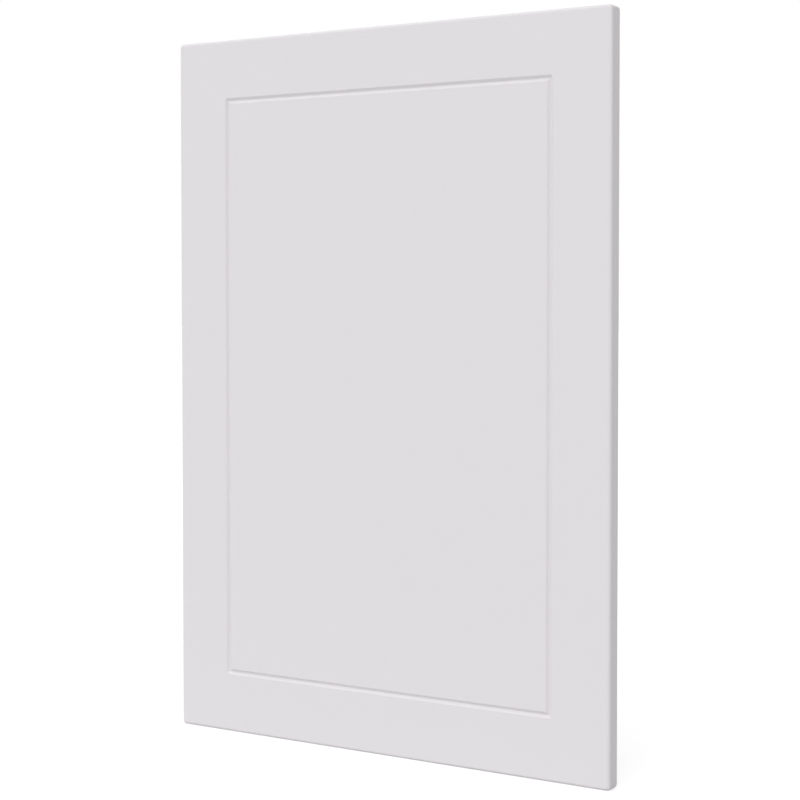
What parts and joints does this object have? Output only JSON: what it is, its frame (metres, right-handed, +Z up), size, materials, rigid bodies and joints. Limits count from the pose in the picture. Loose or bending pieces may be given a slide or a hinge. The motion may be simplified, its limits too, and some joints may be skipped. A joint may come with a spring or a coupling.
{
  "type": "kitchen cabinet door",
  "caption": "Flat kitchen cabinet door in matt white foil-wrapped board, with a V-groove drawing a frame on its front, soft front edges and hinge-cup holes in its back.",
  "frame": {"origin": "midway across the width and the thickness, at the bottom edge", "axes": "+Z up as the door hangs, -Y out of the grooved front, +Y out of the back, X along the width"},
  "size_m": [0.496, 0.016, 0.716],
  "materials": {
    "white_foil_board": "smooth matt white foil over medium-density fibreboard"
  },
  "bodies": {
    "root": {"door_panel": "white_foil_board"}
  },
  "joints": []
}
